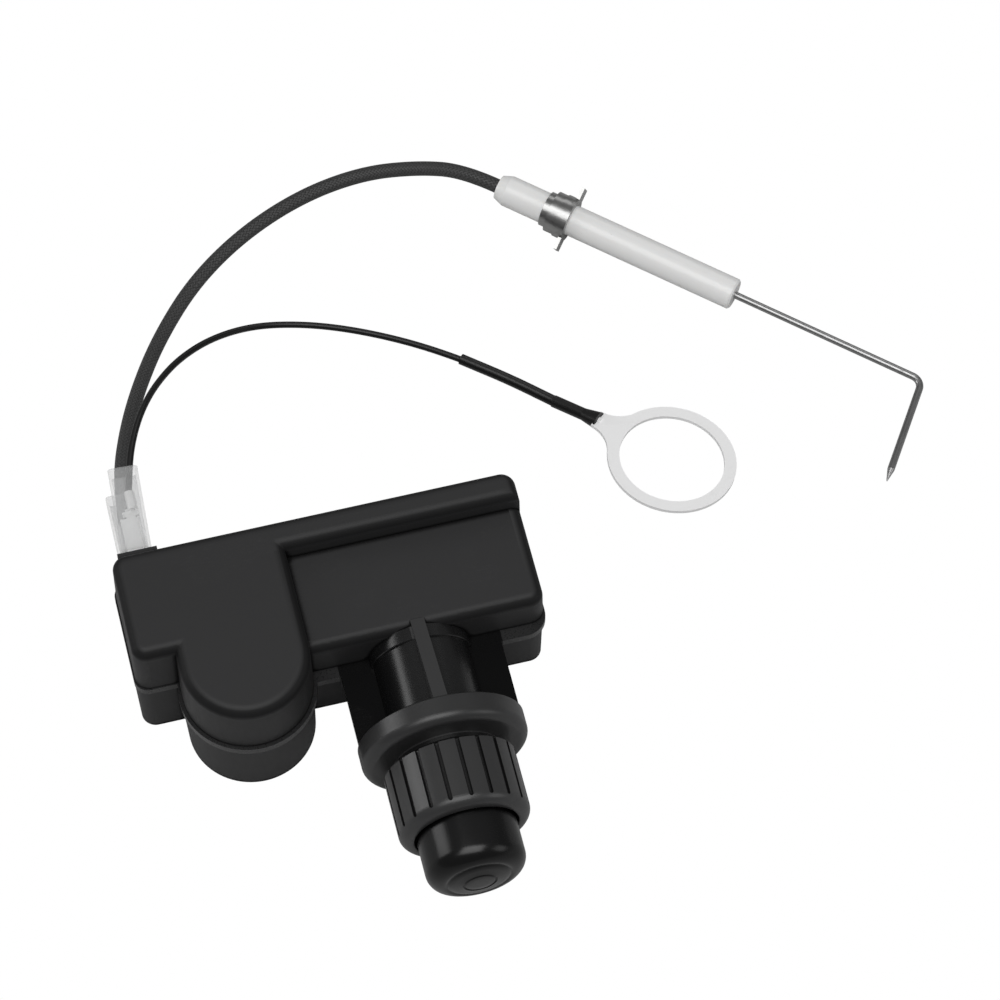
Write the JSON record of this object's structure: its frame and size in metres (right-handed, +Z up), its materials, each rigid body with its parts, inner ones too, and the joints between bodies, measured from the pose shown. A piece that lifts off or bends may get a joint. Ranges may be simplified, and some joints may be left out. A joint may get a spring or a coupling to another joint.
{
  "type": "electronic igniter kit",
  "caption": "Push-button battery spark igniter with a threaded panel barrel and collar, a ground lead with a ring terminal, and a spark lead to a ceramic electrode.",
  "frame": {"origin": "centre of the panel flange's front face, on the barrel's axis", "axes": "-Y along the barrel's axis towards the button, +X along the case's long side away from the terminals, +Z up from the case's underside"},
  "size_m": [0.1808, 0.1791, 0.0348],
  "materials": {
    "case_black": "satin black moulding",
    "barrel_black": "glossy black moulding",
    "contact_metal": "stamped",
    "spring_steel": "drawn wire",
    "cell_can": "plain sleeve over steel",
    "tab_metal": "tinned, stamped",
    "board": "glass-epoxy laminate",
    "capacitor_sleeve": "sleeved can",
    "transistor_case": "moulded",
    "ferrite": "pressed ferrite",
    "bobbin": "moulded",
    "winding": "varnished winding",
    "clear_sleeve": "milky clear, soft",
    "lead_black": "smooth insulation",
    "shrink_black": "matte shrunk tube",
    "tinned_plate": "bright tinned plate",
    "braid_black": "braided sleeve",
    "white_ceramic": "glazed white",
    "retainer_zinc": "pressed, zinc plated",
    "rod_steel": "drawn steel"
  },
  "bodies": {
    "housing": {"upper_cover": "case_black", "lower_cover": "case_black", "barrel_chassis": "barrel_black", "return_spring": "spring_steel", "battery_cell": "cell_can", "rear_spring": "spring_steel", "contact_strip": "contact_metal", "terminal_block": "case_black", "upper_tab": "tab_metal", "lower_tab": "tab_metal", "circuit_board": "board", "storage_capacitor": "capacitor_sleeve", "switching_transistor": "transistor_case", "coil_core": "ferrite", "coil_bobbin": "bobbin", "coil_winding": "winding", "ground_sleeve": "clear_sleeve", "spark_sleeve": "clear_sleeve", "ground_receptacle": "tab_metal", "spark_receptacle": "tab_metal", "ground_lead": "lead_black", "heat_shrink": "shrink_black", "ring_terminal": "tinned_plate", "spark_lead": "braid_black", "ceramic_insulator": "white_ceramic", "electrode_retainer": "retainer_zinc", "electrode_rod": "rod_steel"},
    "button": {"push_button": "barrel_black", "button_contact": "contact_metal"},
    "collar": {"retaining_collar": "barrel_black"}
  },
  "joints": [
    {"name": "button_press", "type": "slide", "parent": "housing", "child": "button", "axis": [0, 1, 0], "range_m": [0, 0.0038], "stiffness_N_per_m": 600, "springref_m": -0.004, "deforming": ["return_spring"]},
    {"name": "collar_turn", "type": "hinge", "parent": "housing", "child": "collar", "pos_m": [0, 0, 0], "axis": [0, -1, 0], "range_deg": [0, 1400]}
  ]
}
